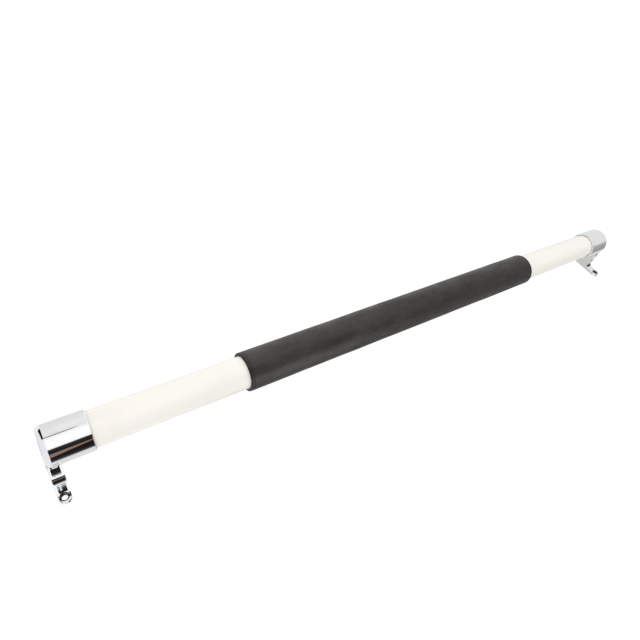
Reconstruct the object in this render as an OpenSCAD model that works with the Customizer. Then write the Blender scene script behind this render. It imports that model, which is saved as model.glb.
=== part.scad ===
// Pull up bar: a lacquered steel tube held in two chrome cup brackets, with a
// padded leather sleeve round its middle.
// Frame: X runs along the bar, +Z points up from the mounting surface at Z = 0,
// and the screw tabs point towards -Y. The origin is midway between the two
// screw holes, on the mounting surface.

/* [Bar] */
// Overall length over the two closed cup ends
overall_l = 900; // [700:10:1200]
// Outer diameter of the steel tube
tube_d = 38; // [30:0.5:46]
// Wall of the steel tube
tube_wall = 2; // [1.5:0.1:3]
// Height of the bar's axis above the mounting surface
stand_off = 47; // [39:0.5:70]

/* [Grip] */
// Length of the leather sleeve, with its rolled ends
grip_l = 480; // [250:5:600]
// Thickness of the foam under the leather
foam_t = 2.2; // [1.6:0.2:6]
// Thickness of the leather
leather_t = 1.6; // [1:0.1:2.4]
// Width of the rolled edge at each end of the sleeve
edge_roll_w = 3.6; // [2.8:0.2:6]
// Diameter of the sewing thread
thread_d = 1; // [0.6:0.1:1.4]
// Gap between the two edges of the leather where it is laced
seam_gap = 0.6; // [0.4:0.1:1]

/* [Cup] */
// Length of each cup along the bar
cup_l = 45; // [36:1:60]
// Side wall of the cup
cup_wall = 1.4; // [1.2:0.1:3]
// Thickness of the cup's closed end
cup_end = 5; // [4.5:0.5:8]
// Radius round the edge of the closed end
end_round = 6; // [3:0.5:6.5]
// Radius round the outer edge of the open mouth
mouth_round = 0.8; // [0.4:0.1:1]
// Depth of the shadow gap between the mouth and the liner
mouth_gap = 2.5; // [1:0.5:5]
// Thickness of the plastic liner between tube and cup
liner_t = 0.6; // [0.4:0.1:1.2]

/* [Leg and tab] */
// Width of the leg and of the tab, along the bar
leg_w = 12.6; // [11:0.2:18]
// How far the leg's front and back are set in from the side of the cup
leg_inset = 3.4; // [2.6:0.2:6]
// Thickness of the screw tab
tab_t = 4.6; // [3.6:0.2:8]
// Distance from the front of the leg to the screw hole
hole_out = 17.4; // [13:0.2:30]
// Fillet between the leg and the tab
tab_fillet = 5; // [2:0.5:7]
// Height of the solid rib between the tab and the pocket in the leg
rib_h = 12; // [8:0.5:16]
// Wall left at each side of the pocket
pocket_wall = 2; // [1.5:0.1:3]
// Depth of the pocket into the leg
pocket_depth = 3; // [1:0.5:5]
// Metal left between the top of the pocket and the bore of the cup
pocket_roof = 1.4; // [1:0.1:3]

/* [Screw hole] */
// Diameter of the hole for the mounting screw
hole_d = 6; // [4:0.1:7]
// Diameter of the countersink at the top of the tab
sink_d = 9.6; // [7.6:0.2:10.6]

/* [Tube fixing] */
// Diameter of the grub screw that locks the tube
grub_d = 5; // [4:0.5:6]
// Length of the grub screw
grub_l = 12; // [8:1:20]
// Key size of the grub screw's hexagon socket
grub_key = 2.5; // [2:0.5:3]
// Depth of the hexagon socket
grub_key_depth = 3; // [2:0.5:5]
// Metal left between the grub screw and the inner face of the leg
grub_wall = 1.6; // [1.2:0.1:3]
// Thickness of the soft pad between the grub screw and the tube
pad_t = 1.4; // [1:0.2:3]
// Length of the plug in each end of the tube
plug_l = 22; // [14:1:40]
// Wall of the plug
plug_wall = 4; // [3:0.5:8]
// Thickness of the plug's closed face
plug_face = 9; // [8:0.5:12]

/* [Hidden] */
$fn = 96;
// Overshoot that lets a cut pass cleanly through a face
cut = 1;
tube_r = tube_d / 2;
bore_r = tube_r + liner_t;
cup_r = bore_r + cup_wall;
// Y of the bar's axis, and of the leg's front and back faces
leg_half = cup_r - leg_inset;
axis_y = leg_half + hole_out;
leg_front_y = axis_y - leg_half;
leg_back_y = axis_y + leg_half;
// Height at which the back of the pocket would meet the bore
pocket_back = leg_half - pocket_depth;
bore_z = stand_off - sqrt(bore_r * bore_r - pocket_back * pocket_back);
pocket_low_z = tab_t + rib_h;
pocket_high_z = bore_z - pocket_roof;
// The leg's top face lies within the wall of the cup, above where they meet
leg_top_z = stand_off - sqrt(cup_r * cup_r - leg_half * leg_half) + cup_wall;
// X of the outer face of a bracket
end_x = overall_l / 2;
// Distances from that face to the middle of the leg and to the grub screw
leg_mid_x = leg_w / 2;
grub_x = leg_w - grub_wall - grub_d / 2;
// Radii of the sleeve's layers
foam_r = tube_r + foam_t;
grip_r = foam_r + leather_t;
thread_r = thread_d / 2;
wrap_l = grip_l - 2 * edge_roll_w;
// The edge thread sits in a groove between the wrap and each rolled edge
edge_thread_r = grip_r - thread_r;
sink_depth = (sink_d - hole_d) / 2;
pad_low_z = stand_off - tube_r - pad_t;

// Moves a bracket piece, drawn from its outer face towards +X, to one end
module at_end(side) {
    if (side < 0) translate([-end_x, 0, 0]) children();
    else translate([end_x, 0, 0]) mirror([1, 0, 0]) children();
}

// Turns a shape drawn round Z so that it runs along the bar's axis, towards +X
module on_axis(x = 0) {
    translate([x, axis_y, stand_off]) rotate([0, 90, 0]) children();
}

// Plain ring along the bar's axis, from x, of length l
module ring(x, l, outer_r, inner_r) {
    on_axis(x) difference() {
        cylinder(h = l, r = outer_r);
        translate([0, 0, -cut]) cylinder(h = l + 2 * cut, r = inner_r);
    }
}

// Half section of the cup, before it is bored: radius along X, distance from
// the closed end along Y
module cup_section() {
    translate([0, end_round]) square([cup_r, cup_l - end_round - mouth_round]);
    square([cup_r - end_round, end_round + cut]);
    translate([cup_r - end_round, end_round]) intersection() {
        circle(r = end_round);
        translate([0, -end_round]) square(end_round);
    }
    translate([0, cup_l - mouth_round - cut]) square([cup_r - mouth_round, mouth_round + cut]);
    translate([cup_r - mouth_round, cup_l - mouth_round]) intersection() {
        circle(r = mouth_round);
        square(mouth_round);
    }
}

// Side outline of the leg and tab: Y along X, Z along Y
module leg_outline() {
    translate([leg_front_y, 0]) square([leg_back_y - leg_front_y, leg_top_z]);
    square([leg_front_y + cut, tab_t]);
    translate([leg_front_y - tab_fillet, tab_t - cut]) difference() {
        square([tab_fillet + cut, tab_fillet + cut]);
        translate([0, tab_fillet + cut]) circle(r = tab_fillet);
    }
}

// The leg, from the outer face inwards
module leg_block() {
    rotate([90, 0, 90]) linear_extrude(leg_w) leg_outline();
}

// Screw tab's rounded tip, round the screw hole
module tab_tip() {
    translate([leg_mid_x, 0, 0]) cylinder(h = tab_t, r = leg_w / 2);
}

// Mounting screw's hole with its countersink
module screw_hole() {
    translate([leg_mid_x, 0, -cut]) cylinder(h = tab_t + 2 * cut, d = hole_d);
    translate([leg_mid_x, 0, tab_t - sink_depth]) {
        cylinder(h = sink_depth, d1 = hole_d, d2 = sink_d);
        translate([0, 0, sink_depth]) cylinder(h = cut, d = sink_d);
    }
}

// Cored pocket in the front of the leg
module leg_pocket() {
    translate([pocket_wall, leg_front_y - cut, pocket_low_z])
        cube([leg_w - 2 * pocket_wall, pocket_depth + cut, pocket_high_z - pocket_low_z]);
}

// One cast bracket: cup, leg and screw tab in a single piece
module bracket() {
    difference() {
        union() {
            on_axis() rotate_extrude() cup_section();
            leg_block();
            tab_tip();
        }
        on_axis(cup_end) cylinder(h = cup_l, r = bore_r);
        screw_hole();
        leg_pocket();
        // Threaded passage for the grub screw, from the mounting face to the bore
        translate([grub_x, axis_y, -cut])
            cylinder(h = stand_off - tube_r + cut, d = grub_d);
    }
}

module left_bracket() {
    color("silver") at_end(-1) bracket();
}

module right_bracket() {
    color("silver") at_end(1) bracket();
}

// Steel tube, seated against the closed end of each cup
module bar_tube() {
    tube_l = overall_l - 2 * cup_end;
    color("ivory") ring(-tube_l / 2, tube_l, tube_r, tube_r - tube_wall);
}

// Plastic liner with a hole for the pressure pad
module cup_liner() {
    difference() {
        ring(cup_end, cup_l - cup_end - mouth_gap, bore_r, tube_r);
        translate([grub_x, axis_y, stand_off - bore_r - cut])
            cylinder(h = liner_t + 2 * cut, d = grub_d);
    }
}

module left_cup_liner() {
    color("whitesmoke") at_end(-1) cup_liner();
}

module right_cup_liner() {
    color("whitesmoke") at_end(1) cup_liner();
}

// Plug that backs the tube's wall behind the grub screw
module tube_plug() {
    plug_r = tube_r - tube_wall;
    on_axis(cup_end) difference() {
        cylinder(h = plug_l, r = plug_r);
        translate([0, 0, plug_face]) cylinder(h = plug_l, r = plug_r - plug_wall);
    }
}

module left_tube_plug() {
    color("dimgray") at_end(-1) tube_plug();
}

module right_tube_plug() {
    color("dimgray") at_end(1) tube_plug();
}

// Grub screw with a hexagon socket in its lower end
module grub_screw() {
    translate([grub_x, axis_y, pad_low_z - grub_l]) difference() {
        cylinder(h = grub_l, d = grub_d);
        translate([0, 0, -cut])
            cylinder(h = grub_key_depth + cut, d = grub_key / cos(30), $fn = 6);
    }
}

module grub_screws() {
    color("darkgray") {
        at_end(-1) grub_screw();
        at_end(1) grub_screw();
    }
}

// Soft pad that bears on the underside of the tube
module pressure_pad() {
    translate([grub_x, axis_y, pad_low_z]) cylinder(h = pad_t, d = grub_d);
}

module pressure_pads() {
    color("white") {
        at_end(-1) pressure_pad();
        at_end(1) pressure_pad();
    }
}

module foam_pad() {
    color("gray") ring(-wrap_l / 2, wrap_l, foam_r, tube_r);
}

// Half section of the wrap, with a groove for the edge thread at each end
module wrap_section() {
    difference() {
        translate([foam_r, 0]) square([leather_t, wrap_l]);
        for (y = [0, wrap_l]) translate([edge_thread_r, y]) circle(r = thread_r);
    }
}

// Leather wrap: a strip whose long edges meet under the bar
module leather_wrap() {
    color([0.2, 0.19, 0.19]) difference() {
        on_axis(-wrap_l / 2) rotate_extrude() wrap_section();
        translate([-wrap_l, axis_y - seam_gap / 2, 0]) cube([2 * wrap_l, seam_gap, stand_off - tube_r]);
        seam_cord(wrap_l + 2 * cut);
    }
}

// Lacing that lies in the seam, along the underside of the sleeve
module seam_cord(l) {
    translate([-l / 2, axis_y, stand_off - grip_r + thread_r]) rotate([0, 90, 0])
        cylinder(h = l, r = thread_r);
}

module seam_thread() {
    color("black") seam_cord(wrap_l - 2 * thread_d);
}

// Half section of a rolled edge: rounded outside, seated on the tube
module roll_section() {
    difference() {
        union() {
            translate([tube_r, 0]) square([grip_r - tube_r, edge_roll_w - leather_t]);
            translate([tube_r, 0]) square([grip_r - tube_r - leather_t, edge_roll_w]);
            translate([grip_r - leather_t, edge_roll_w - leather_t]) circle(r = leather_t);
        }
        translate([edge_thread_r, 0]) circle(r = thread_r);
    }
}

// Rolled leather edge on the right; the left one is its mirror image
module edge_roll() {
    on_axis(wrap_l / 2) rotate_extrude() roll_section();
}

module left_edge_roll() {
    color([0.17, 0.16, 0.16]) mirror([1, 0, 0]) edge_roll();
}

module right_edge_roll() {
    color([0.17, 0.16, 0.16]) edge_roll();
}

// Thread that runs round the sleeve between the wrap and a rolled edge
module edge_thread() {
    on_axis(wrap_l / 2) rotate_extrude() translate([edge_thread_r, 0]) circle(r = thread_r);
}

module left_edge_thread() {
    color("black") mirror([1, 0, 0]) edge_thread();
}

module right_edge_thread() {
    color("black") edge_thread();
}

bar_tube();
left_bracket();
right_bracket();
left_cup_liner();
right_cup_liner();
left_tube_plug();
right_tube_plug();
grub_screws();
pressure_pads();
foam_pad();
leather_wrap();
left_edge_roll();
right_edge_roll();
left_edge_thread();
right_edge_thread();
seam_thread();
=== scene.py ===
# %% [markdown]
# # A pull up bar with a leather grip
# The bar is a cream lacquered steel tube. Each end sits in a chromed cup that stands on a leg
# with a screw tab, and a leather sleeve is laced round the middle. This lesson builds the looks
# of the bar round its CAD model. The CAD model says where everything is, so each piece takes
# its place and size from the boxes of the CAD nodes, in metres.

# %% Load the frame
import math
import bmesh
import bpy
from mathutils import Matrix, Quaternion, Vector


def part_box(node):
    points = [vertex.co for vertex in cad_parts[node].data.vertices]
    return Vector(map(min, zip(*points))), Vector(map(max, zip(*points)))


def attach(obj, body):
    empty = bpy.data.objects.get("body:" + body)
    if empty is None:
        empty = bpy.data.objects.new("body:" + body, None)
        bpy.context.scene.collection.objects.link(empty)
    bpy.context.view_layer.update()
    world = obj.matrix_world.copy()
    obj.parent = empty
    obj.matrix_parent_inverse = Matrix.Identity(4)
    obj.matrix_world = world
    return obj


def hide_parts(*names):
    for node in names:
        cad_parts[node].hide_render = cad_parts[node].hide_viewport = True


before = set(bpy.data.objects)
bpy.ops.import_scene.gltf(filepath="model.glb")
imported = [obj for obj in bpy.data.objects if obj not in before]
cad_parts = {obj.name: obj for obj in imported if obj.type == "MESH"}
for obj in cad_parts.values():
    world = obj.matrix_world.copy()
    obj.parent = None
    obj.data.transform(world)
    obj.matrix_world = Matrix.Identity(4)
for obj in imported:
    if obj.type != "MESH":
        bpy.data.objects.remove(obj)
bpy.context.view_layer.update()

print("CAD nodes:", ", ".join(sorted(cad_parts)))

# %% [markdown]
# ## Sizes
# X runs along the bar and Z points up from the surface it is screwed to. The bar's axis is a
# line along X, so a point's place on it is given by X, and everything round it by a radius.
# Reading the sizes from the nodes' boxes keeps the looks and the CAD model together.

# %% Sizes of the CAD model
MM = 0.001
TO_DEGREES = 180 / math.pi


def to_tenth(value):
    return round(value, 4)


tube_low, tube_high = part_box("bar_tube")
cup_low, cup_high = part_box("left_bracket")
wrap_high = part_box("leather_wrap")[1]
foam_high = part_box("foam_pad")[1]
roll_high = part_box("right_edge_roll")[1]

axis_y = to_tenth((tube_low.y + tube_high.y) / 2)
axis_z = to_tenth((tube_low.z + tube_high.z) / 2)
tube_r = to_tenth(tube_high.z - axis_z)
tube_end_x = to_tenth(tube_high.x)
end_x = to_tenth(-cup_low.x)
cup_r = to_tenth(cup_high.z - axis_z)
cup_l = to_tenth(cup_high.x - cup_low.x)
tip_r = to_tenth(-cup_low.y)
leg_w = 2 * tip_r
wrap_x = to_tenth(wrap_high.x)
grip_x = to_tenth(roll_high.x)
grip_r = to_tenth(wrap_high.z - axis_z)
foam_r = to_tenth(foam_high.z - axis_z)
on_axis = Vector((0, axis_y, axis_z))

LEG_INSET = 3.4 * MM
leg_half = cup_r - LEG_INSET
leg_front = axis_y - leg_half
print("axis at y", axis_y, "z", axis_z, "tube radius", tube_r, "cup radius", cup_r)
print("sleeve radius", grip_r, "from x", -grip_x, "to", grip_x)

# %% [markdown]
# ## Camera
# The bar is seen from above and in front of its left end, with a fairly wide lens, so the left
# bracket is large and the right one small. The camera is also rolled to one side, which lays the
# bar across the picture. A camera looks along its own -Z, so it is turned with a tracking
# rotation first and then rolled about its line of sight.

# %% Camera
camera_place = Vector((-0.4351, -0.2442, 0.5352))
looks_along = Vector((0.483, 0.471, -0.738))
camera_roll = math.radians(18)
LENS = 29.46
SENSOR_WIDTH = 36

camera = bpy.data.objects.new("camera", bpy.data.cameras.new("camera"))
bpy.context.scene.collection.objects.link(camera)
camera.data.sensor_width = SENSOR_WIDTH
camera.data.lens = LENS
camera.data.clip_start = 0.01
camera.location = camera_place
camera.rotation_mode = "QUATERNION"
level = looks_along.to_track_quat("-Z", "Y")
camera.rotation_quaternion = level @ Quaternion((0, 0, 1), camera_roll)
bpy.context.scene.camera = camera
print("camera at", tuple(camera_place), "with a lens of", camera.data.lens, "mm")

# %% [markdown]
# ## Nodes in a few words
# Materials and the studio are networks of shader nodes. A few helpers keep the code short. One
# adds a node and fills its sockets, one does a sum, and the others make soft steps, blends of
# two colours and colour ramps. A socket takes either a number or another node's output.

# %% Node helpers
def node(tree, kind, settings=(), **sockets):
    made = tree.nodes.new("ShaderNode" + kind)
    for name, value in dict(settings).items():
        setattr(made, name, value)
    for name, value in sockets.items():
        socket = made.inputs[name.replace("_", " ")]
        if isinstance(value, bpy.types.NodeSocket):
            tree.links.new(value, socket)
        else:
            socket.default_value = value
    return made


def maths(tree, operation, *values):
    made = node(tree, "Math", {"operation": operation})
    for socket, value in zip(made.inputs, values):
        if isinstance(value, bpy.types.NodeSocket):
            tree.links.new(value, socket)
        else:
            socket.default_value = value
    return made.outputs[0]


def step_up(tree, value, start, end):
    made = node(tree, "MapRange", {"interpolation_type": "SMOOTHSTEP"}, Value=value)
    made.inputs["From Min"].default_value = start
    made.inputs["From Max"].default_value = end
    return made.outputs["Result"]


def between(tree, value, low, high, soft):
    rise = step_up(tree, value, low - soft, low + soft)
    fall = step_up(tree, value, high + soft, high - soft)
    return maths(tree, "MULTIPLY", rise, fall)


def length_of(tree, first, second):
    squares = maths(tree, "ADD", maths(tree, "POWER", first, 2.0), maths(tree, "POWER", second, 2.0))
    return maths(tree, "SQRT", squares)


def blend(tree, share, first, second):
    made = tree.nodes.new("ShaderNodeMix")
    made.data_type = "RGBA"
    colours = [s for s in made.inputs if s.type == "RGBA"]
    for socket, value in ((made.inputs[0], share), (colours[0], first), (colours[1], second)):
        if isinstance(value, bpy.types.NodeSocket):
            tree.links.new(value, socket)
        elif socket.type == "RGBA":
            socket.default_value = (*value, 1)
        else:
            socket.default_value = value
    return [s for s in made.outputs if s.type == "RGBA"][0]


def ramp(tree, value, stops):
    made = node(tree, "ValToRGB", Fac=value)
    made.color_ramp.interpolation = "LINEAR"
    stops = [(place, (c, c, c) if isinstance(c, (int, float)) else c) for place, c in stops]
    points = made.color_ramp.elements
    while len(points) < len(stops):
        points.new(0.5)
    for point, (place, colour) in zip(points, stops):
        point.position = place
        point.color = (*colour, 1)
    return made.outputs["Color"]


def object_place(tree):
    return node(tree, "TexCoord").outputs["Object"]


# %% [markdown]
# ## Studio
# Chrome has almost no look of its own: it shows the room. The room here is a light tent. It is
# pale all round, with a brighter panel above the bar, and the dark camera side in front,
# where a warm brown strip shows between black ones. One could build that tent
# from cards, but a world shader does it with no extra geometry. It works out the angle of each
# direction round the bar's axis and looks the brightness up in a ramp. The floor is left out
# of mirror rays, so the room continues below it. Rays from the camera see plain white, and
# diffuse rays see an even pale room, because the dark side is for reflections only.

# %% World
world = bpy.data.worlds.new("light tent")
bpy.context.scene.world = world
world.use_nodes = True
tent = world.node_tree
tent.nodes.clear()

direction = node(tent, "SeparateXYZ", Vector=node(tent, "TexCoord").outputs["Generated"])
along, depth, height = direction.outputs
front = maths(tent, "MULTIPLY", depth, -1.0)
angle = maths(tent, "MULTIPLY", maths(tent, "ARCTAN2", height, front), TO_DEGREES)
turn = maths(tent, "ADD", maths(tent, "DIVIDE", angle, 360.0), 0.5)


def round_the_bar(*stops):
    return [((degrees + 180) / 360, brightness) for degrees, brightness in stops]


near_room = ramp(tent, turn, round_the_bar(
    (-180, 0.78), (-85, 0.78), (-50, 0.76), (-43, 0.68), (-40, 0.10), (-31, 0.035), (-22, 0.012),
    (14, 0.012), (26, 0.02), (34, 0.035), (38, 1.05), (60, 1.1), (84, 1.05), (98, 0.9),
    (104, 0.82), (127, 0.88), (150, 0.82), (180, 0.78)))
far_room = ramp(tent, turn, round_the_bar(
    (-180, 0.8), (-85, 0.8), (-62, 0.6), (-50, 0.4), (-37, 0.31), (-15, 0.36), (8, 0.42),
    (14, 0.5), (22, 0.72), (34, 0.8), (180, 0.8)))
print("rooms at the two ends of the bar are ready")

# %% Room beside the sleeve
# The dark side fades out along the bar, and the sleeve's two halves see different parts of it.
left_middle = ramp(tent, turn, round_the_bar(
    (-180, 1.0), (-95, 0.4), (-74, 0.15), (-60, 0.2), (-46, 0.5), (-14, 1.4), (13, 1.4),
    (25, 0.3), (36, 0.05), (60, 0.6), (85, 1.2), (110, 1.4), (140, 1.3), (166, 1.7), (180, 1.6)))
right_middle = ramp(tent, turn, round_the_bar(
    (-180, 0.9), (-100, 0.3), (-74, 0.2), (-46, 0.12), (-14, 0.05), (13, 0.03), (36, 0.06),
    (60, 0.25), (85, 0.5), (120, 0.65), (140, 0.8), (166, 1.1), (180, 1.0)))
print("rooms beside the sleeve's two halves are ready")

# %% [markdown]
# The room's details are masks made from two numbers: the angle round the bar in degrees, and
# how much a direction points along the bar, from -1 to 1. The brown strip climbs along the bar.
# Towards the left end the room turns pale. A black panel is high at the back there, and its
# front edge goes on as a thin line. A grey panel is low at the back, far to the left. Last, the
# four rooms are blended into each other along the bar.

# %% Details of the room
BROWN = (0.27, 0.175, 0.13)
PALE = (0.86, 0.86, 0.89)
BLACK = (0.008, 0.008, 0.008)
GREY = (0.60, 0.60, 0.59)
STRIP_START = -6.0
STRIP_CLIMB = 190.0

strip_low = maths(tent, "ADD", maths(tent, "MULTIPLY", along, STRIP_CLIMB), STRIP_START)
strip = maths(tent, "SUBTRACT", angle, strip_low)
strip_mask = maths(tent, "MULTIPLY", step_up(tent, strip, -1.5, 2.5), step_up(tent, angle, 12, 9))
strip_mask = maths(tent, "MULTIPLY", strip_mask, between(tent, along, -0.1, 0.12, 0.02))
near_room = blend(tent, strip_mask, near_room, BROWN)

near_room = blend(tent, step_up(tent, along, -0.06, -0.11), near_room, PALE)
panel_edge = maths(tent, "MULTIPLY", between(tent, along, -0.52, -0.07, 0.03),
                   between(tent, angle, 99.0, 170, 1.0))
panel_line = maths(tent, "MULTIPLY", between(tent, angle, 98.9, 102.6, 0.7),
                   between(tent, along, -0.3, 0.035, 0.012))
near_room = blend(tent, maths(tent, "MAXIMUM", panel_edge, panel_line), near_room, BLACK)
back_panel = maths(tent, "MULTIPLY", between(tent, along, -0.92, -0.77, 0.03),
                   between(tent, angle, -142, -98, 8))
near_room = blend(tent, back_panel, near_room, GREY)
room = blend(tent, step_up(tent, along, 0.13, 0.3), near_room, left_middle)
room = blend(tent, step_up(tent, along, 0.48, 0.68), room, right_middle)
room = blend(tent, step_up(tent, along, 0.775, 0.81), room, far_room)
print("the room so far has", len(tent.nodes), "nodes")

# %% What each kind of ray sees
SOFT_LIGHT = (1.04, 1.03, 1.01)
WHITE = (1, 1, 1)

rays = node(tent, "LightPath").outputs
room = blend(tent, rays["Is Diffuse Ray"], room, SOFT_LIGHT)
room = blend(tent, rays["Is Camera Ray"], room, WHITE)
background = node(tent, "Background", Color=room, Strength=1.0)
node(tent, "OutputWorld", Surface=background.outputs[0])
world.cycles.sampling_method = "NONE"
bpy.context.scene.view_settings.view_transform = "Standard"
print("world nodes:", len(tent.nodes))

# %% [markdown]
# ## Floor and lamp
# The floor is a pale plane at the height of the bar's feet. It is mostly a glow, like the lit
# table of a light tent, and only a tenth of it is plain white paper, so shadows on it stay
# faint. One large soft lamp above lights the top of everything and adds no hard edge.

# %% Floor and lamp
FLOOR_SIZE = 30
FLOOR_GLOW = 1.08
PAPER_SHARE = 0.1
LAMP_PLACE = Vector((0, 0.5, 1.8))
LAMP_SIZE = 1.6
LAMP_POWER = 4


def clear_selection():
    if bpy.context.object and bpy.context.object.mode != "OBJECT":
        bpy.ops.object.mode_set(mode="OBJECT")
    bpy.ops.object.select_all(action="DESELECT")


clear_selection()
bpy.ops.mesh.primitive_plane_add(size=FLOOR_SIZE)
floor = bpy.context.object
floor.name = "floor"
floor.visible_glossy = False

floor_look = bpy.data.materials.new("pale floor")
floor_look.use_nodes = True
tree = floor_look.node_tree
tree.nodes.clear()
glow = node(tree, "Emission", Color=(1, 1, 1, 1), Strength=FLOOR_GLOW)
paper = node(tree, "BsdfDiffuse", Color=(0.92, 0.92, 0.92, 1))
mixed = node(tree, "MixShader", Fac=PAPER_SHARE)
tree.links.new(glow.outputs[0], mixed.inputs[1])
tree.links.new(paper.outputs[0], mixed.inputs[2])
node(tree, "OutputMaterial", Surface=mixed.outputs[0])
floor.data.materials.append(floor_look)

lamp = bpy.data.objects.new("top lamp", bpy.data.lights.new("top lamp", "AREA"))
bpy.context.scene.collection.objects.link(lamp)
lamp.data.size = LAMP_SIZE
lamp.data.energy = LAMP_POWER
lamp.location = LAMP_PLACE
lamp.rotation_mode = "QUATERNION"
lamp.rotation_quaternion = (-LAMP_PLACE).to_track_quat("-Z", "Y")
lamp.visible_glossy = False
print("floor and lamp are in place")

# %% [markdown]
# ## Shared effects
# Several finishes have the same small faults: a film of dust and smudges, and a fine grain that
# catches the light. Each effect is a node group with its own inputs, built once and used in
# each material with other values. A group only puts out masks and heights. The shader itself
# stays in the material.

# %% Group helper
def group(name, inputs, outputs):
    made = bpy.data.node_groups.new(name, "ShaderNodeTree")
    for socket, value in inputs.items():
        made.interface.new_socket(socket, in_out="INPUT", socket_type="NodeSocketFloat")
        made.interface.items_tree[socket].default_value = value
    for socket in outputs:
        made.interface.new_socket(socket, in_out="OUTPUT", socket_type="NodeSocketFloat")
    start = made.nodes.new("NodeGroupInput")
    end = made.nodes.new("NodeGroupOutput")
    return made, start.outputs, end.inputs, object_place(made)


def noise(tree, place, scale, detail=4.0, rough=0.5, stretch=(1, 1, 1)):
    stretched = node(tree, "Mapping", Vector=place, Scale=stretch)
    made = node(tree, "TexNoise", Vector=stretched.outputs[0], Detail=detail, Roughness=rough)
    if isinstance(scale, bpy.types.NodeSocket):
        tree.links.new(scale, made.inputs["Scale"])
    else:
        made.inputs["Scale"].default_value = scale
    return made.outputs["Fac"]


# %% Smudges and dust
smudges, given, gives, place = group(
    "smudges", {"Scale": 30.0, "Amount": 1.0}, ["Mask", "Specks"])
cloud = step_up(smudges, noise(smudges, place, given["Scale"], 5, 0.62), 0.46, 0.72)
wiped = noise(smudges, place, given["Scale"], 3, 0.5, (0.35, 4, 4))
patch = maths(smudges, "MULTIPLY", cloud, maths(smudges, "ADD", wiped, 0.35))
smudges.links.new(maths(smudges, "MULTIPLY", patch, given["Amount"]), gives["Mask"])
fine = maths(smudges, "MULTIPLY", given["Scale"], 40.0)
dots = node(smudges, "TexVoronoi", Vector=place, Scale=fine).outputs["Distance"]
dots = maths(smudges, "MULTIPLY", step_up(smudges, dots, 0.14, 0.05), cloud)
smudges.links.new(maths(smudges, "MULTIPLY", dots, given["Amount"]), gives["Specks"])
print(smudges.name, "has", len(smudges.nodes), "nodes")

# %% Fine grain
grain, given, gives, place = group(
    "fine grain", {"Scale": 900.0, "Warp": 0.4, "Depth": 1.0}, ["Height", "Pits"])
warp = node(grain, "TexNoise", Vector=place, Scale=maths(grain, "MULTIPLY", given["Scale"], 0.3))
push = node(grain, "VectorMath", {"operation": "SCALE"}, Scale=maths(
    grain, "DIVIDE", given["Warp"], given["Scale"]))
grain.links.new(warp.outputs["Color"], push.inputs[0])
moved = node(grain, "VectorMath", {"operation": "ADD"})
grain.links.new(place, moved.inputs[0])
grain.links.new(push.outputs[0], moved.inputs[1])
cells = node(grain, "TexVoronoi", {"feature": "DISTANCE_TO_EDGE"}, Vector=moved.outputs[0],
             Scale=given["Scale"]).outputs["Distance"]
raised = step_up(grain, cells, 0.0, 0.28)
swell = noise(grain, place, maths(grain, "MULTIPLY", given["Scale"], 0.12), 3)
height_out = maths(grain, "ADD", maths(grain, "MULTIPLY", raised, 0.6),
                   maths(grain, "MULTIPLY", swell, 0.5))
grain.links.new(maths(grain, "MULTIPLY", height_out, given["Depth"]), gives["Height"])
grain.links.new(maths(grain, "SUBTRACT", 1.0, raised), gives["Pits"])
print("node groups:", ", ".join(shared.name for shared in bpy.data.node_groups))


# %% Material helper
def new_look(name, **shader):
    made = bpy.data.materials.new(name)
    made.use_nodes = True
    tree = made.node_tree
    tree.nodes.clear()
    shade = node(tree, "BsdfPrincipled")
    for socket, value in shader.items():
        shade.inputs[socket.replace("_", " ")].default_value = value
    node(tree, "OutputMaterial", Surface=shade.outputs[0])
    return made, tree, shade


def effect(tree, shared, **values):
    made = tree.nodes.new("ShaderNodeGroup")
    made.node_tree = shared
    for name, value in values.items():
        made.inputs[name].default_value = value
    return made.outputs


def feed(tree, shade, colour=None, rough=None, height=None, distance=0.0002, strength=1.0):
    if colour is not None:
        tree.links.new(colour, shade.inputs["Base Color"])
    if rough is not None:
        tree.links.new(rough, shade.inputs["Roughness"])
    if height is not None:
        bump = node(tree, "Bump", Height=height, Distance=distance, Strength=strength)
        tree.links.new(bump.outputs[0], shade.inputs["Normal"])


def ranged(tree, value, low, high):
    return maths(tree, "ADD", maths(tree, "MULTIPLY", value, high - low), low)


# %% [markdown]
# ## Finishes of the metal
# The cups and legs are zinc castings, polished and plated with chrome: a mirror with a very
# slight waviness and a few smudges. The countersink and the inner corner over the tab are painted
# dark as painted shade in these recesses, and made a little rougher. The tube is sprayed with a
# warm white lacquer, whose clear gloss is a coat over a softer body. Lacquer sprayed on a tube has
# a faint orange peel, which is a low bump made from noise.

# %% Chrome
SINK_R = 4.8 * MM
SINK_SOFT = 0.2 * MM
TAB_T = 4.6 * MM
CORNER_DARK = 2.4 * MM
CORNER_REACH = 3.6 * MM
SIDE_MARGIN = 0.6 * MM

chrome, tree, shade = new_look("chrome plate", Metallic=1.0)
film = effect(tree, smudges, Scale=38.0, Amount=1.0)
tint = blend(tree, film["Mask"], (0.93, 0.935, 0.945), (0.87, 0.865, 0.86))
tint = blend(tree, film["Specks"], tint, (0.7, 0.69, 0.68))
place = object_place(tree)
wavy = noise(tree, place, 55.0, 2)

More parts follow.
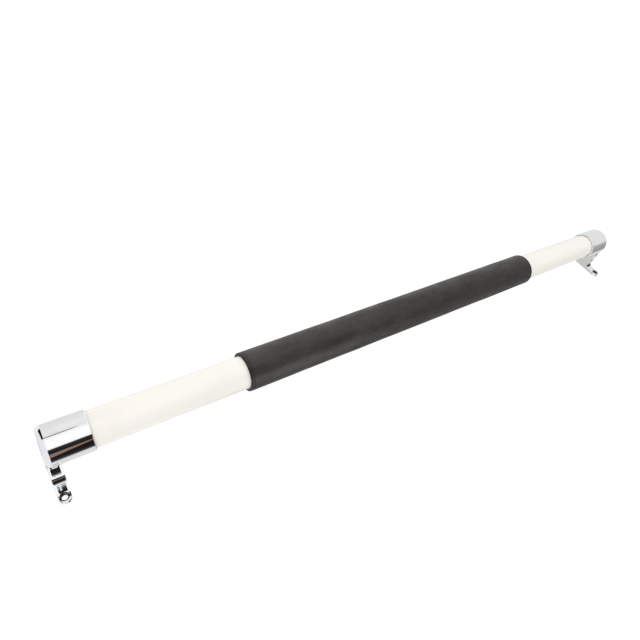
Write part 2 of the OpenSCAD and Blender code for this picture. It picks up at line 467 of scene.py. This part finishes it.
x, y, z = node(tree, "SeparateXYZ", Vector=place).outputs
from_end = maths(tree, "SUBTRACT", end_x, maths(tree, "ABSOLUTE", x))
from_hole = length_of(tree, maths(tree, "SUBTRACT", from_end, leg_w / 2), y)
# Painted shade: the countersink and the inner corner over the tab are painted dark, standing in for
# the shade in these recesses, and are made a little rougher.
sink_shade = maths(tree, "MULTIPLY",
                step_up(tree, from_hole, SINK_R + SINK_SOFT, SINK_R - SINK_SOFT),
                step_up(tree, z, TAB_T - 0.05 * MM, TAB_T - 0.25 * MM))
from_corner = length_of(tree, maths(tree, "SUBTRACT", y, leg_front),
                        maths(tree, "SUBTRACT", z, TAB_T))
corner_shade = maths(tree, "MULTIPLY", step_up(tree, from_corner, CORNER_REACH, CORNER_DARK),
                  between(tree, from_end, SIDE_MARGIN, leg_w - SIDE_MARGIN, 0.3 * MM))
painted_recess_shade = maths(tree, "MAXIMUM", sink_shade, corner_shade)
recess_shade_colour = blend(tree, noise(tree, place, 260.0, 3), (0.02, 0.02, 0.021), (0.16, 0.13, 0.12))
tint = blend(tree, painted_recess_shade, tint, recess_shade_colour)
rough = ranged(tree, film["Mask"], 0.02, 0.08)
rough = maths(tree, "ADD", rough, maths(tree, "MULTIPLY", painted_recess_shade, 0.12))
feed(tree, shade, tint, rough, wavy, 0.12 * MM, 0.12)
print(chrome.name, "has", len(tree.nodes), "nodes")

# %% Lacquer
lacquer, tree, shade = new_look("cream lacquer", Coat_Weight=0.35, Coat_Roughness=0.08, IOR=1.45)
film = effect(tree, smudges, Scale=14.0, Amount=1.0)
place = object_place(tree)
warm = step_up(tree, noise(tree, place, 9.0, 3), 0.3, 0.7)
body = blend(tree, warm, (0.885, 0.862, 0.815), (0.87, 0.85, 0.806))
body = blend(tree, film["Mask"], body, (0.84, 0.82, 0.77))
peel = noise(tree, place, 420.0, 2)
feed(tree, shade, body, ranged(tree, film["Mask"], 0.28, 0.42), peel, 0.1 * MM, 0.1)
print(lacquer.name, "has", len(tree.nodes), "nodes")

# %% [markdown]
# ## Finishes of the grip
# The sleeve is dark grey brown leather with a fine pebble grain. Its pits hold less light and
# its raised cells are a little polished by hands, so the grain drives both colour and
# roughness. Painted shade makes it a little darker towards the right end. The top is painted
# lighter towards the left end as a painted highlight, and so is one strip in front there. The
# rolled ends are burnished smoother and darker at their outer edges, and the grooves beside
# them are painted dark as painted shade. The foam inside is dark grey, and the waxed thread is
# nearly black.

# %% Leather
LEATHER = (0.037, 0.0312, 0.0288)
# The next two dark tones colour the random patches and also the painted shade towards the right end.
DARK_TONE_AND_SHADE = (0.018, 0.0153, 0.0142)
EDGE_DARK_TONE_AND_SHADE = (0.020, 0.0170, 0.0160)
DUST = (0.12, 0.115, 0.11)
# The next colour is a painted highlight, for a strip in front towards the left end.
HIGHLIGHT_STRIP_COLOUR = (0.064, 0.058, 0.057)
# The next colour is a painted highlight for the top of the sleeve.
TOP_LIGHT_COLOUR = (0.062, 0.053, 0.050)
# The next colour paints the shade in the grooves and darkens the outer edges of the rolled ends.
GROOVE_SHADE_AND_EDGE_DARK = (0.008, 0.0055, 0.0050)
GROOVE_HALF = 0.4 * MM
DARK_LIP = 0.9 * MM


def leather_look(name, light, dark, low_rough, high_rough, depth, shine=0.5, dark_edge_from=None):
    made, tree, shade = new_look(name, IOR=1.48, Sheen_Weight=0.1, Sheen_Roughness=0.35,
                                 Specular_IOR_Level=shine)
    skin = effect(tree, grain, Scale=820.0, Warp=0.5, Depth=1.0)
    film = effect(tree, smudges, Scale=16.0, Amount=1.0)
    place = object_place(tree)
    patches = step_up(tree, noise(tree, place, 65.0, 6, 0.7, (0.4, 1, 1)), 0.32, 0.68)
    colour = blend(tree, patches, dark, light)
    colour = blend(tree, maths(tree, "MULTIPLY", skin["Pits"], 0.5), colour,
                   tuple(0.55 * c for c in dark))
    colour = blend(tree, film["Specks"], colour, DUST)

    centred = node(tree, "Mapping", Vector=place, Location=(0, -axis_y, -axis_z)).outputs[0]
    along_bar, behind, above = node(tree, "SeparateXYZ", Vector=centred).outputs
    round_bar = maths(tree, "MULTIPLY", maths(
        tree, "ARCTAN2", above, maths(tree, "MULTIPLY", behind, -1.0)), TO_DEGREES)
    # Painted highlight: one strip in front, towards the left end, is painted lighter.
    painted_highlight_strip = maths(tree, "MULTIPLY", between(tree, round_bar, 8, 36, 9),
                   step_up(tree, along_bar, 0.02, -0.16))
    painted_highlight_strip = maths(tree, "MULTIPLY", painted_highlight_strip, ranged(tree, patches, 0.45, 1.0))
    colour = blend(tree, painted_highlight_strip, colour, HIGHLIGHT_STRIP_COLOUR)
    # Painted highlight: the top of the sleeve is painted lighter towards the left end.
    painted_top_light = maths(tree, "MULTIPLY", between(tree, round_bar, 66, 150, 14),
                  ranged(tree, step_up(tree, along_bar, 0.02, -0.2), 0.02, 0.35))
    colour = blend(tree, painted_top_light, colour, TOP_LIGHT_COLOUR)
    # Painted shade: the colour is painted darker towards the right end.
    painted_right_shade = maths(tree, "MULTIPLY", step_up(tree, along_bar, -0.1, 0.15), 0.45)
    colour = blend(tree, painted_right_shade, colour, dark)
    from_middle = maths(tree, "ABSOLUTE", along_bar)
    # Painted shade: a narrow band in the groove where the sleeve meets each rolled end is painted
    # dark.
    painted_groove_shade = between(tree, from_middle, wrap_x - GROOVE_HALF, wrap_x + GROOVE_HALF, 0.2 * MM)
    colour = blend(tree, painted_groove_shade, colour, GROOVE_SHADE_AND_EDGE_DARK)
    # The outer edges of the rolled ends are made darker.
    if dark_edge_from:
        darker_edge = step_up(tree, from_middle, dark_edge_from, dark_edge_from + 0.4 * MM)
        colour = blend(tree, darker_edge, colour, GROOVE_SHADE_AND_EDGE_DARK)
    rough = ranged(tree, patches, high_rough, low_rough)
    rough = maths(tree, "ADD", rough, maths(tree, "MULTIPLY", skin["Pits"], 0.12))
    creases = noise(tree, place, 110.0, 4, 0.6, (0.45, 1, 1))
    height = maths(tree, "ADD", skin["Height"], maths(tree, "MULTIPLY", creases, 1.6))
    feed(tree, shade, colour, rough, height, depth)
    return made


dark_leather = leather_look("dark leather", LEATHER, DARK_TONE_AND_SHADE, 0.36, 0.54, 0.22 * MM)
edge_leather = leather_look("edge leather", LEATHER, EDGE_DARK_TONE_AND_SHADE, 0.30, 0.44, 0.12 * MM,
                            shine=0.25, dark_edge_from=grip_x - DARK_LIP)
print("leathers:", dark_leather.name, "and", edge_leather.name)

# %% Thread and foam
thread, tree, shade = new_look("black thread", Specular_IOR_Level=0.4)
twist = node(tree, "TexWave", {"bands_direction": "DIAGONAL"}, Scale=900.0, Distortion=1.5,
             Vector=object_place(tree)).outputs["Fac"]
feed(tree, shade, blend(tree, twist, (0.012, 0.012, 0.012), (0.045, 0.042, 0.04)),
     ranged(tree, twist, 0.75, 0.5), twist, 0.2 * MM)

foam_look, tree, shade = new_look("grip foam")
cells = effect(tree, grain, Scale=1500.0, Warp=0.6, Depth=1.0)
feed(tree, shade, blend(tree, cells["Pits"], (0.10, 0.10, 0.10), (0.03, 0.03, 0.03)),
     ranged(tree, cells["Pits"], 0.8, 0.95), cells["Height"], 0.3 * MM)
print("inside the grip:", thread.name, "and", foam_look.name)

# %% [markdown]
# ## Finishes of the small parts
# The liners and the soft pads are natural nylon, the plugs are black moulded plastic, and the
# grub screws are zinc plated steel with the fine rings that turning leaves.

# %% Plastics and plated steel
def plastic_look(name, pale, deep, rough, depth):
    made, tree, shade = new_look(name, IOR=1.49)
    skin = effect(tree, grain, Scale=2600.0, Warp=0.3, Depth=1.0)
    film = effect(tree, smudges, Scale=60.0, Amount=1.0)
    colour = blend(tree, film["Mask"], pale, deep)
    colour = blend(tree, maths(tree, "MULTIPLY", skin["Pits"], 0.3), colour, deep)
    feed(tree, shade, colour, ranged(tree, film["Mask"], rough, rough + 0.15),
         skin["Height"], depth)
    return made


nylon = plastic_look("natural nylon", (0.80, 0.79, 0.75), (0.70, 0.68, 0.63), 0.38, 0.04 * MM)
black_plastic = plastic_look("black plastic", (0.03, 0.03, 0.031), (0.018, 0.018, 0.019),
                             0.45, 0.06 * MM)

plated, tree, shade = new_look("plated steel", Metallic=1.0)
film = effect(tree, smudges, Scale=160.0, Amount=1.0)
turned = node(tree, "TexWave", {"bands_direction": "Z"}, Vector=object_place(tree),
              Scale=1600.0, Distortion=0.6).outputs["Fac"]
feed(tree, shade, blend(tree, film["Mask"], (0.62, 0.62, 0.60), (0.45, 0.44, 0.41)),
     ranged(tree, film["Mask"], 0.22, 0.42), turned, 0.05 * MM)

for names, look in ((("left_cup_liner", "right_cup_liner", "pressure_pads"), nylon),
                    (("left_tube_plug", "right_tube_plug"), black_plastic),
                    (("grub_screws",), plated)):
    for name in names:
        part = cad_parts[name]
        part.data.materials.clear()
        part.data.materials.append(look)
print("small parts:", nylon.name, black_plastic.name, plated.name)

# %% [markdown]
# ## Modelling helpers
# Every new piece starts as a primitive at its own size and place and is then shaped in edit
# mode. The operators act on whatever is selected, so these helpers deselect first, pick faces,
# edges or corners by a test on their place, and leave edit mode when the shape is done.

# %% Modelling helpers
def add_cylinder(name, x_from, x_to, radius, sides):
    clear_selection()
    bpy.ops.mesh.primitive_cylinder_add(
        vertices=sides, radius=radius, depth=x_to - x_from,
        location=((x_from + x_to) / 2, axis_y, axis_z), rotation=(0, math.pi / 2, 0))
    return settle(name)


def settle(name):
    piece = bpy.context.object
    piece.name = name
    piece.data.name = name
    bpy.ops.object.transform_apply(location=True, rotation=True, scale=True)
    return piece


def choose(piece):
    clear_selection()
    piece.select_set(True)
    bpy.context.view_layer.objects.active = piece


def edit(piece):
    choose(piece)
    bpy.ops.object.mode_set(mode="EDIT")


def middle(part):
    if isinstance(part, bmesh.types.BMVert):
        return part.co
    corners = [corner.co for corner in part.verts]
    return sum(corners, Vector()) / len(corners)


def off_axis(point):
    return math.hypot(point.y - axis_y, point.z - axis_z)


def pick(kind, test):
    bpy.ops.mesh.select_mode(type=kind)
    bpy.ops.mesh.select_all(action="DESELECT")
    shape = bmesh.from_edit_mesh(bpy.context.object.data)
    shape.normal_update()
    parts = {"FACE": shape.faces, "EDGE": shape.edges, "VERT": shape.verts}[kind]
    chosen = [part for part in parts if test(part)]
    for part in chosen:
        part.select_set(True)
    shape.select_flush_mode()
    bmesh.update_edit_mesh(bpy.context.object.data)
    return len(chosen)


def near(value, target, slack=0.00002):
    return abs(value - target) < slack


def ring_at(x, radius):
    return lambda edge: all(
        near(v.co.x, x) and near(off_axis(v.co), radius, 0.00005) for v in edge.verts)


def bevel(width, steps):
    bpy.ops.mesh.bevel(offset=width, segments=steps, profile=0.5, affect="EDGES")


def push_selected(x=0.0, y=0.0, z=0.0):
    bpy.ops.transform.translate(value=(x, y, z))


def leave_edit():
    bpy.ops.mesh.select_all(action="SELECT")
    bpy.ops.mesh.normals_make_consistent(inside=False)
    bpy.ops.object.mode_set(mode="OBJECT")


def apply_modifier(piece, kind, **settings):
    choose(piece)
    made = piece.modifiers.new(kind.lower(), kind)
    for name, value in settings.items():
        setattr(made, name, value)
    bpy.ops.object.modifier_apply(modifier=made.name)


def smooth(piece, degrees=35):
    choose(piece)
    bpy.ops.object.shade_smooth_by_angle(angle=math.radians(degrees))


def finish_piece(piece, look, slot, *nodes):
    piece.data.materials.clear()
    piece.data.materials.append(look)
    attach(piece, "root")
    if nodes:
        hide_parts(*nodes)
    faces = sum(len(face.vertices) - 2 for face in piece.data.polygons)
    print(piece.name, "has", faces, "triangles")


# %% [markdown]
# ## Tube
# The real tube is drawn steel with thin walls. A solid cylinder would do for what shows, but a
# tube is hollow, so both end faces are inset by the wall and the two inner faces are bridged
# into a bore. Many sides keep the gloss smooth.

# %% Tube
TUBE_WALL = 2 * MM
TUBE_ROUND = 0.4 * MM


def hollow(wall):
    pick("FACE", lambda face: abs(face.normal.x) > 0.9)
    bpy.ops.mesh.inset(thickness=wall)
    bpy.ops.mesh.bridge_edge_loops()


tube = add_cylinder("lacquered_tube", -tube_end_x, tube_end_x, tube_r, 128)
edit(tube)
hollow(TUBE_WALL)
pick("EDGE", lambda edge: ring_at(-tube_end_x, tube_r)(edge) or ring_at(tube_end_x, tube_r)(edge))
bevel(TUBE_ROUND, 3)
leave_edit()
smooth(tube)
finish_piece(tube, lacquer, "cream_lacquer", "bar_tube")

# %% [markdown]
# ## Bracket
# Each bracket is one casting: a cup, a leg and a screw tab. The cup is turned, so it starts as
# a cylinder whose mouth is inset and pushed in, and its edges are bevelled. The leg starts as a
# block, and the tab and its round tip are pulled out of it. They are made apart because each is
# simple alone, and a boolean then joins them into one closed skin, as the real casting is.

# %% Cup
CUP_WALL = 1.4 * MM
CUP_END = end_x - tube_end_x
END_ROUND = 6 * MM
MOUTH_ROUND = 0.8 * MM
BORE_ROUND = 0.3 * MM

cup = add_cylinder("left_bracket_casting", -end_x, -end_x + cup_l, cup_r, 144)
edit(cup)
pick("FACE", lambda face: face.normal.x > 0.9)
bpy.ops.mesh.inset(thickness=CUP_WALL)
bpy.ops.mesh.extrude_region_move(
    TRANSFORM_OT_translate={"value": (-(cup_l - CUP_END), 0, 0)})
pick("EDGE", ring_at(-end_x, cup_r))
bevel(END_ROUND, 12)
pick("EDGE", ring_at(-end_x + cup_l, cup_r))
bevel(MOUTH_ROUND, 4)
pick("EDGE", ring_at(-end_x + cup_l, cup_r - CUP_WALL))
bevel(BORE_ROUND, 2)
leave_edit()
print("cup is", round(cup_l / MM, 1), "mm long with", len(cup.data.polygons), "faces")

# %% Leg and tab
TAB_FILLET = 5 * MM
POCKET_LOW = 16.6 * MM
POCKET_TOP = 32.5 * MM
POCKET_WALL = 2 * MM
leg_top = axis_z - math.sqrt(cup_r ** 2 - leg_half ** 2) + CUP_WALL
leg_mid_x = -end_x + leg_w / 2

clear_selection()
bpy.ops.mesh.primitive_cube_add(size=1, location=(leg_mid_x, axis_y, leg_top / 2),
                                scale=(leg_w, 2 * leg_half, leg_top))
leg = settle("leg")
edit(leg)
for cut_z in (TAB_T, POCKET_LOW - POCKET_WALL, POCKET_TOP + POCKET_WALL):
    bpy.ops.mesh.select_all(action="SELECT")
    bpy.ops.mesh.bisect(plane_co=(0, 0, cut_z), plane_no=(0, 0, 1))
pick("FACE", lambda face: face.normal.y < -0.9 and middle(face).z < TAB_T)
bpy.ops.mesh.extrude_region_move(
    TRANSFORM_OT_translate={"value": (0, -(leg_front + tip_r), 0)})
pick("EDGE", lambda edge: all(near(v.co.y, -tip_r) for v in edge.verts)
     and not near(edge.verts[0].co.z, edge.verts[1].co.z))
bevel(tip_r * 0.995, 14)
pick("EDGE", lambda edge: all(near(v.co.y, leg_front) and near(v.co.z, TAB_T) for v in edge.verts))
bevel(TAB_FILLET, 10)
leave_edit()
print("leg from y", leg_front, "to the top at z", leg_top)

# %% [markdown]
# The front of the leg is cored out to save metal. The pocket's floor leans back towards its
# top, because a core has to slide out of the casting. Its face is inset, pushed in and cut in
# two, and then the cut and the upper edge are pushed in further.

# %% Pocket and soft edges
POCKET_DEPTH = 0.8 * MM
POCKET_BEND = POCKET_LOW + 4.5 * MM
LOWER_LEAN = 0.9 * MM
UPPER_LEAN = 4.8 * MM
LEG_ROUND = 0.7 * MM

edit(leg)
pick("FACE", lambda face: face.normal.y < -0.9
     and POCKET_LOW < middle(face).z < POCKET_TOP and near(middle(face).y, leg_front))
bpy.ops.mesh.inset(thickness=POCKET_WALL)
bpy.ops.mesh.extrude_region_move(TRANSFORM_OT_translate={"value": (0, POCKET_DEPTH, 0)})
bpy.ops.mesh.bisect(plane_co=(0, 0, POCKET_BEND), plane_no=(0, 0, 1))
pocket_y = leg_front + POCKET_DEPTH
pick("VERT", lambda v: near(v.co.y, pocket_y) and v.co.z > POCKET_BEND - 0.1 * MM)
push_selected(y=LOWER_LEAN)
pick("VERT", lambda v: near(v.co.y, pocket_y + LOWER_LEAN) and v.co.z > POCKET_TOP - 0.5 * MM)
push_selected(y=UPPER_LEAN)
leave_edit()
apply_modifier(leg, "BEVEL", width=LEG_ROUND, segments=3, limit_method="ANGLE",
               angle_limit=math.radians(40))
deepest = POCKET_DEPTH + LOWER_LEAN + UPPER_LEAN
print("pocket is", round(deepest / MM, 1), "mm deep at its top")

# %% [markdown]
# The screw hole is countersunk. Its cutter is a cylinder with a cone on top: one cylinder is
# added, its upper rim is extruded and scaled out, and a boolean takes it away from the tab.

# %% Screw hole and joined casting
HOLE_R = 3 * MM
CUT_ABOVE = 0.4 * MM

clear_selection()
bpy.ops.mesh.primitive_cylinder_add(
    vertices=64, radius=HOLE_R, depth=2 * (TAB_T - (SINK_R - HOLE_R)),
    location=(leg_mid_x, 0, 0))
cutter = settle("cutter")
edit(cutter)
pick("FACE", lambda face: face.normal.z > 0.9)
rise = SINK_R - HOLE_R + CUT_ABOVE
bpy.ops.mesh.extrude_region_move(TRANSFORM_OT_translate={"value": (0, 0, rise)})
wider = (HOLE_R + rise) / HOLE_R
bpy.ops.transform.resize(value=(wider, wider, 1), center_override=(leg_mid_x, 0, 0))
leave_edit()
apply_modifier(leg, "BOOLEAN", object=cutter, operation="DIFFERENCE", solver="EXACT")
apply_modifier(cup, "BOOLEAN", object=leg, operation="UNION", solver="EXACT")
for tool in (leg, cutter):
    bpy.data.objects.remove(tool)
print("casting has", len(cup.data.polygons), "faces")

# %% [markdown]
# The leg's block also fills part of the cup's bore, where the liner and tube sit, so the bore is
# cut once more. The cutter is a hair smaller than the bore, because a boolean leaves slivers
# where two surfaces lie exactly on each other. Then the casting gets smooth shading that stays
# crisp at real edges, with normals weighted by face size, which keeps large flats flat in a
# mirror finish.

# %% Bore and shading
SKIN = 0.05 * MM
bore = add_cylinder("bore", -end_x + CUP_END + SKIN, -end_x + cup_l * 0.7,
                    cup_r - CUP_WALL - SKIN, 144)
apply_modifier(cup, "BOOLEAN", object=bore, operation="DIFFERENCE", solver="EXACT")
bpy.data.objects.remove(bore)
edit(cup)
bpy.ops.mesh.select_all(action="SELECT")
bpy.ops.mesh.remove_doubles(threshold=0.00001)
leave_edit()

choose(cup)
bpy.ops.object.duplicate(linked=False)
right_cup = bpy.context.object
right_cup.scale.x = -1
settle("right_bracket_casting")
edit(right_cup)
leave_edit()
for casting in (cup, right_cup):
    smooth(casting, 32)
    apply_modifier(casting, "WEIGHTED_NORMAL", keep_sharp=True)
finish_piece(cup, chrome, "chrome_plate", "left_bracket")
finish_piece(right_cup, chrome, "chrome_plate", "right_bracket")

# %% [markdown]
# ## Sleeve
# The grip is a strip of leather laced tight over thin foam. A tight sleeve has no folds, only a
# slight unevenness, so it doesn't need a cloth simulation: it is a fine tube whose surface a
# clouds texture moves in and out by a fraction of a millimetre. The strip's edges meet under the
# bar, where one line of corners is pushed in to make the seam.

# %% Sleeve and foam
SLEEVE_SIDES = 160
SLEEVE_CUTS = 100
SEAM_DEPTH = 0.8 * MM
JOINT_ROUND = 0.25 * MM
UNEVEN_BY = 0.5 * MM
FOAM_GAP = 0.3 * MM
unevenness = bpy.data.textures.new("unevenness", "CLOUDS")
unevenness.noise_scale = 0.035
unevenness.noise_depth = 2


def uneven(piece):
    apply_modifier(piece, "DISPLACE", texture=unevenness, strength=UNEVEN_BY, mid_level=0.5,
                   texture_coords="GLOBAL")


sleeve = add_cylinder("leather_sleeve", -wrap_x, wrap_x, grip_r, SLEEVE_SIDES)
edit(sleeve)
hollow(grip_r - foam_r)
pick("EDGE", lambda edge: abs(edge.verts[0].co.x - edge.verts[1].co.x) > wrap_x
     and off_axis(middle(edge)) > foam_r + 0.5 * MM)
bpy.ops.mesh.subdivide(number_cuts=SLEEVE_CUTS)
seam_z = axis_z - grip_r
print("seam corners:", pick("VERT", lambda v: v.co.z < seam_z + 0.005 * MM))
push_selected(z=SEAM_DEPTH)
pick("EDGE", lambda edge: all(
    near(abs(v.co.x), wrap_x) and off_axis(v.co) > grip_r - MM for v in edge.verts))
bevel(JOINT_ROUND, 2)
leave_edit()
uneven(sleeve)
smooth(sleeve, 60)
finish_piece(sleeve, dark_leather, "dark_leather", "leather_wrap")

core_r = foam_r - FOAM_GAP
foam = add_cylinder("foam_core", -wrap_x, wrap_x, core_r, 96)
edit(foam)
hollow(core_r - tube_r)
pick("EDGE", lambda edge: ring_at(-wrap_x, core_r)(edge) or ring_at(wrap_x, core_r)(edge))
bevel(0.5 * MM, 3)
leave_edit()
smooth(foam)
finish_piece(foam, foam_look, "grip_foam", "foam_pad")

# %% [markdown]
# ## Rolled ends
# At each end the leather is turned over and stitched, which leaves a rounded roll. It is a short
# ring with well rounded outer edges, and a shallow groove in its end face shows where the
# turned edge meets the tube.

# %% Rolled ends
ROLL_ROUND = 0.7 * MM
GROOVE_MARGIN = 0.7 * MM
GROOVE_DEPTH = 0.4 * MM


def rolled_end(name, side):
    x_in, x_out = sorted((side * wrap_x, side * grip_x))
    roll = add_cylinder(name, x_in, x_out, grip_r, SLEEVE_SIDES)
    edit(roll)
    hollow(grip_r - tube_r)
    pick("EDGE", ring_at(side * grip_x, grip_r))
    bevel(ROLL_ROUND, 5)
    pick("EDGE", ring_at(side * wrap_x, grip_r))
    bevel(JOINT_ROUND, 2)
    pick("FACE", lambda face: near(middle(face).x, side * grip_x) and abs(face.normal.x) > 0.9)
    bpy.ops.mesh.inset(thickness=GROOVE_MARGIN)
    push_selected(x=-side * GROOVE_DEPTH)
    leave_edit()
    uneven(roll)
    smooth(roll, 60)
    return roll


finish_piece(rolled_end("left_rolled_end", -1), edge_leather, "edge_leather", "left_edge_roll")
finish_piece(rolled_end("right_rolled_end", 1), edge_leather, "edge_leather", "right_edge_roll")

# %% [markdown]
# ## Stitches
# The thread shows as short stitches. One stitch is a small sphere drawn out long. It is placed
# once in the groove beside a rolled end and repeated round the bar, and the seam under the bar
# is laced with slanted pairs. Each stitch has only a few dozen faces, as there are many.

# %% Stitches round the ends
THREAD_R = 0.45 * MM
END_STITCHES = 40
STITCH_L = 2.4 * MM
STITCH_SUNK = 0.4 * MM


def stitch(place, length, turn):
    bpy.ops.mesh.primitive_uv_sphere_add(
        segments=8, ring_count=6, radius=THREAD_R, location=place, rotation=turn,
        scale=(1, length / (2 * THREAD_R), 1))


def end_stitches(name, side):
    clear_selection()
    stitch((side * wrap_x, axis_y, axis_z + grip_r - STITCH_SUNK), STITCH_L, (0, 0, 0))
    threads = settle(name)
    edit(threads)
    bpy.ops.mesh.select_all(action="SELECT")
    bpy.ops.mesh.spin(steps=END_STITCHES - 1, dupli=True, center=tuple(on_axis), axis=(1, 0, 0),
                      angle=2 * math.pi * (END_STITCHES - 1) / END_STITCHES)
    leave_edit()
    smooth(threads, 180)
    return threads


finish_piece(end_stitches("left_end_stitches", -1), thread, "black_thread", "left_edge_thread")
finish_piece(end_stitches("right_end_stitches", 1), thread, "black_thread", "right_edge_thread")

# %% Lacing of the seam
LACE_PITCH = 5 * MM
LACE_L = 5 * MM
LACE_SLANT = math.radians(35)
FIRST_LACE = 1.2 * MM
SECOND_LACE = 3.7 * MM
lace_count = int(2 * (wrap_x - 2 * MM) / LACE_PITCH)
lace_x = -lace_count * LACE_PITCH / 2
lace_z = seam_z - 0.05 * MM

clear_selection()
stitch((lace_x + FIRST_LACE, axis_y, lace_z), LACE_L, (0, 0, LACE_SLANT))
lacing = settle("seam_lacing")
stitch((lace_x + SECOND_LACE, axis_y, lace_z), LACE_L, (0, 0, -LACE_SLANT))
second = settle("second_stitch")
choose(lacing)
second.select_set(True)
bpy.ops.object.join()
apply_modifier(lacing, "ARRAY", count=lace_count, use_relative_offset=False,
               use_constant_offset=True, constant_offset_displace=(LACE_PITCH, 0, 0))
smooth(lacing, 180)
finish_piece(lacing, thread, "black_thread", "seam_thread")
